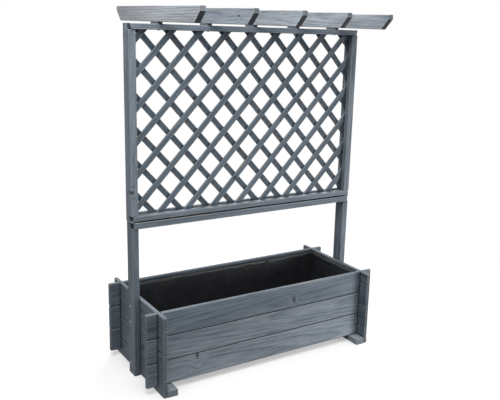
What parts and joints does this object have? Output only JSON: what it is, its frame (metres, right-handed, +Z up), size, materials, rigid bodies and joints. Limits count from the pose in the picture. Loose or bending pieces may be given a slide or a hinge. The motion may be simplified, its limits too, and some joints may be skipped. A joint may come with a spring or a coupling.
{
  "type": "planter with trellis",
  "caption": "Long timber planter box of crossed boards with a diamond lattice trellis on two legs and pergola rafters across its top.",
  "frame": {"origin": "on the ground, under the middle of the box", "axes": "+X to the right along the front, +Y from the front to the back, +Z up"},
  "size_m": [1.1, 0.735, 1.451],
  "materials": {
    "stained_board": "matt grey-blue stain on planed softwood",
    "stained_post": "matt grey-blue stain on planed softwood",
    "stained_strip": "matt grey-blue stain on planed softwood",
    "stained_rafter": "matt grey-blue stain on planed softwood",
    "sawn_timber": "sawn softwood, stained only where it shows",
    "black_film": "dull black film",
    "zinc_screw": "zinc plated"
  },
  "bodies": {
    "root": {"back_board_lower": "stained_board", "back_board_middle": "stained_board", "back_board_upper": "stained_board", "bottom_rail": "stained_post", "cross_rail": "stained_post", "cross_rail_screws": "zinc_screw", "floor_bearer": "sawn_timber", "floor_slat_1": "sawn_timber", "floor_slat_2": "sawn_timber", "floor_slat_3": "sawn_timber", "floor_slat_4": "sawn_timber", "foot_left": "sawn_timber", "foot_right": "sawn_timber", "frame_screws": "zinc_screw", "front_board_lower": "stained_board", "front_board_middle": "stained_board", "front_board_upper": "stained_board", "lattice_back_1": "stained_strip", "lattice_back_2": "stained_strip", "lattice_back_3": "stained_strip", "lattice_back_4": "stained_strip", "lattice_back_5": "stained_strip", "lattice_back_6": "stained_strip", "lattice_back_7": "stained_strip", "lattice_front_1": "stained_strip", "lattice_front_2": "stained_strip", "lattice_front_3": "stained_strip", "lattice_front_4": "stained_strip", "lattice_front_5": "stained_strip", "lattice_front_6": "stained_strip", "lattice_front_7": "stained_strip", "left_end_board_bottom": "stained_board", "left_end_board_lower": "stained_board", "left_end_board_top": "stained_board", "left_end_board_upper": "stained_board", "leg_left": "stained_post", "leg_right": "stained_post", "leg_screws": "zinc_screw", "liner": "black_film", "rafter_1": "stained_rafter", "rafter_2": "stained_rafter", "rafter_3": "stained_rafter", "rafter_4": "stained_rafter", "rafter_5": "stained_rafter", "rafter_screws": "zinc_screw", "rafter_spacers": "stained_rafter", "rear_lath_bottom": "stained_post", "rear_lath_left": "stained_post", "rear_lath_right": "stained_post", "rear_lath_top": "stained_post", "right_end_board_bottom": "stained_board", "right_end_board_lower": "stained_board", "right_end_board_top": "stained_board", "right_end_board_upper": "stained_board", "stile_left": "stained_post", "stile_right": "stained_post", "top_rail": "stained_post"}
  },
  "joints": []
}
